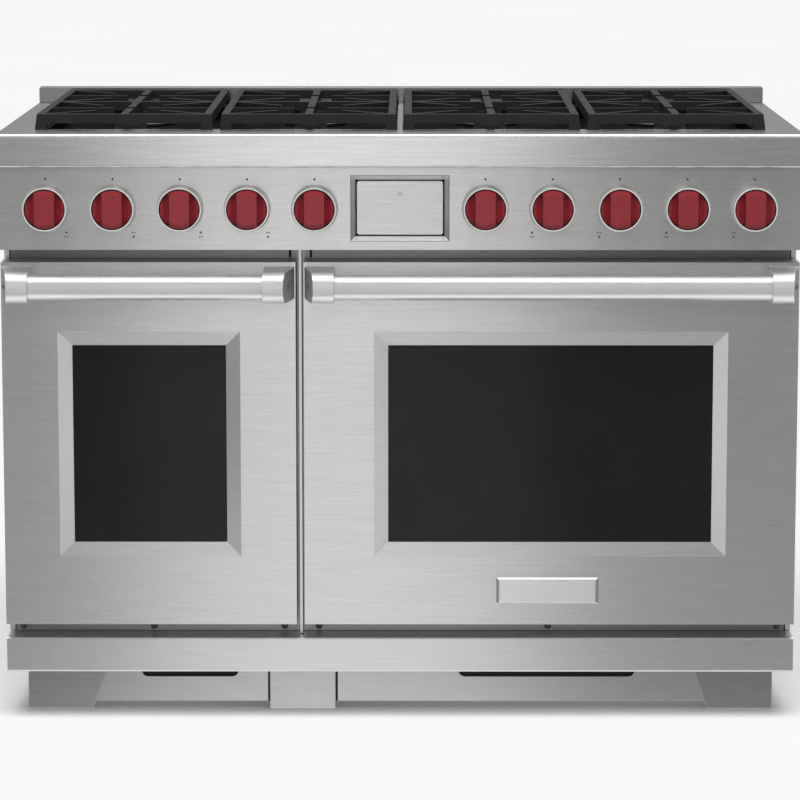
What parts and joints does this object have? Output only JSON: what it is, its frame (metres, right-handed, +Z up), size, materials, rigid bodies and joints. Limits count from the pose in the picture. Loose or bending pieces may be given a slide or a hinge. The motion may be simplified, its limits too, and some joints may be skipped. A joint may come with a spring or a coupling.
{
  "type": "freestanding gas range",
  "caption": "Wide stainless gas range: two drop-down oven doors with bar handles, cast grates over burners, red knobs and a turning display.",
  "frame": {"origin": "on the floor under the middle of the whole range", "axes": "+X to the right as seen from the front, +Y towards the wall behind, +Z up; the doors face -Y"},
  "size_m": [1.216, 0.749, 0.9394],
  "materials": {
    "stainless": "horizontal brushed satin",
    "galvanised": "dull zinc grey",
    "chrome": "bright plated",
    "black_enamel": "glossy porcelain enamel",
    "oven_enamel": "glossy speckled enamel",
    "cast_iron": "matte black, fine cast grain",
    "red_knob": "semi-gloss moulded",
    "dark_glass": "polished tinted",
    "burner_metal": "cast, satin",
    "brass": "machined"
  },
  "bodies": {
    "range_body": {"front_rail": "stainless", "control_panel": "stainless", "display_bezel": "stainless", "front_frame": "stainless", "side_panel_left": "stainless", "side_panel_right": "stainless", "cooktop_frame": "stainless", "rear_riser": "stainless", "kickplate": "stainless", "leg_front_left": "stainless", "leg_front_right": "stainless", "leg_centre": "stainless", "toe_panel": "stainless", "back_panel": "galvanised", "base_pan": "galvanised", "leg_rear_left": "galvanised", "leg_rear_right": "galvanised", "burner_pan_left": "black_enamel", "burner_pan_right": "black_enamel", "gas_inlet": "brass", "oven_liner_left": "oven_enamel", "oven_liner_right": "oven_enamel", "burner_front_1": "burner_metal", "burner_rear_1": "burner_metal", "burner_front_2": "burner_metal", "burner_rear_2": "burner_metal", "burner_front_3": "burner_metal", "burner_rear_3": "burner_metal", "burner_front_4": "burner_metal", "burner_rear_4": "burner_metal"},
    "display": {"display_module": "stainless"},
    "door_left": {"door_left_panel": "stainless", "door_left_glass": "dark_glass", "door_left_liner": "oven_enamel", "door_left_handle_bar": "stainless", "door_left_handle_bracket_left": "stainless", "door_left_handle_bracket_right": "stainless"},
    "door_right": {"door_right_panel": "stainless", "door_right_glass": "dark_glass", "door_right_liner": "oven_enamel", "door_right_handle_bar": "stainless", "door_right_handle_bracket_left": "stainless", "door_right_handle_bracket_right": "stainless"},
    "rack_left_1": {"oven_rack_left_1": "chrome"},
    "rack_right_1": {"oven_rack_right_1": "chrome"},
    "rack_right_2": {"oven_rack_right_2": "chrome"},
    "knob_burner_1": {"knob_burner_1": "red_knob"},
    "knob_burner_2": {"knob_burner_2": "red_knob"},
    "knob_burner_3": {"knob_burner_3": "red_knob"},
    "knob_burner_4": {"knob_burner_4": "red_knob"},
    "knob_oven_left": {"knob_oven_left": "red_knob"},
    "knob_oven_right": {"knob_oven_right": "red_knob"},
    "knob_burner_5": {"knob_burner_5": "red_knob"},
    "knob_burner_6": {"knob_burner_6": "red_knob"},
    "knob_burner_7": {"knob_burner_7": "red_knob"},
    "knob_burner_8": {"knob_burner_8": "red_knob"},
    "grate_1": {"grate_1": "cast_iron"},
    "grate_2": {"grate_2": "cast_iron"},
    "grate_3": {"grate_3": "cast_iron"},
    "grate_4": {"grate_4": "cast_iron"}
  },
  "joints": [
    {"name": "door_left_hinge", "type": "hinge", "parent": "range_body", "child": "door_left", "pos_m": [-0.38325, -0.27, 0.168], "axis": [1, 0, 0], "range_deg": [0, 90], "stiffness_Nm_per_rad": 12, "springref_deg": -20.05},
    {"name": "door_right_hinge", "type": "hinge", "parent": "range_body", "child": "door_right", "pos_m": [0.2303, -0.27, 0.168], "axis": [1, 0, 0], "range_deg": [0, 90], "stiffness_Nm_per_rad": 20, "springref_deg": -20.05},
    {"name": "rack_left_1_slide", "type": "slide", "parent": "range_body", "child": "rack_left_1", "axis": [0, -1, 0], "range_m": [0, 0.24]},
    {"name": "rack_right_1_slide", "type": "slide", "parent": "range_body", "child": "rack_right_1", "axis": [0, -1, 0], "range_m": [0, 0.24]},
    {"name": "rack_right_2_slide", "type": "slide", "parent": "range_body", "child": "rack_right_2", "axis": [0, -1, 0], "range_m": [0, 0.24]},
    {"name": "knob_burner_1_turn", "type": "hinge", "parent": "range_body", "child": "knob_burner_1", "pos_m": [-0.5354, -0.311, 0.80065], "axis": [0, -1, 0], "range_deg": [0, 270]},
    {"name": "knob_burner_2_turn", "type": "hinge", "parent": "range_body", "child": "knob_burner_2", "pos_m": [-0.4338, -0.311, 0.80065], "axis": [0, -1, 0], "range_deg": [0, 270]},
    {"name": "knob_burner_3_turn", "type": "hinge", "parent": "range_body", "child": "knob_burner_3", "pos_m": [-0.3322, -0.311, 0.80065], "axis": [0, -1, 0], "range_deg": [0, 270]},
    {"name": "knob_burner_4_turn", "type": "hinge", "parent": "range_body", "child": "knob_burner_4", "pos_m": [-0.2306, -0.311, 0.80065], "axis": [0, -1, 0], "range_deg": [0, 270]},
    {"name": "knob_oven_left_turn", "type": "hinge", "parent": "range_body", "child": "knob_oven_left", "pos_m": [-0.129, -0.311, 0.80065], "axis": [0, -1, 0], "range_deg": [-270, 0]},
    {"name": "knob_oven_right_turn", "type": "hinge", "parent": "range_body", "child": "knob_oven_right", "pos_m": [0.129, -0.311, 0.80065], "axis": [0, -1, 0], "range_deg": [-270, 0]},
    {"name": "knob_burner_5_turn", "type": "hinge", "parent": "range_body", "child": "knob_burner_5", "pos_m": [0.2306, -0.311, 0.80065], "axis": [0, -1, 0], "range_deg": [0, 270]},
    {"name": "knob_burner_6_turn", "type": "hinge", "parent": "range_body", "child": "knob_burner_6", "pos_m": [0.3322, -0.311, 0.80065], "axis": [0, -1, 0], "range_deg": [0, 270]},
    {"name": "knob_burner_7_turn", "type": "hinge", "parent": "range_body", "child": "knob_burner_7", "pos_m": [0.4338, -0.311, 0.80065], "axis": [0, -1, 0], "range_deg": [0, 270]},
    {"name": "knob_burner_8_turn", "type": "hinge", "parent": "range_body", "child": "knob_burner_8", "pos_m": [0.5354, -0.311, 0.80065], "axis": [0, -1, 0], "range_deg": [0, 270]},
    {"name": "display_turn", "type": "hinge", "parent": "range_body", "child": "display", "pos_m": [0, -0.2973, 0.80065], "axis": [1, 0, 0], "range_deg": [0, 180]},
    {"name": "grate_1_lift", "type": "slide", "parent": "range_body", "child": "grate_1", "axis": [0, 0, 1], "range_m": [0, 0.15]},
    {"name": "grate_2_lift", "type": "slide", "parent": "range_body", "child": "grate_2", "axis": [0, 0, 1], "range_m": [0, 0.15]},
    {"name": "grate_3_lift", "type": "slide", "parent": "range_body", "child": "grate_3", "axis": [0, 0, 1], "range_m": [0, 0.15]},
    {"name": "grate_4_lift", "type": "slide", "parent": "range_body", "child": "grate_4", "axis": [0, 0, 1], "range_m": [0, 0.15]}
  ],
  "couplings": [
    {"joint": "rack_left_1_slide", "follows": "door_left_hinge", "m_per_rad": 0.15},
    {"joint": "rack_right_1_slide", "follows": "door_right_hinge", "m_per_rad": 0.15},
    {"joint": "rack_right_2_slide", "follows": "door_right_hinge", "m_per_rad": 0.15}
  ]
}
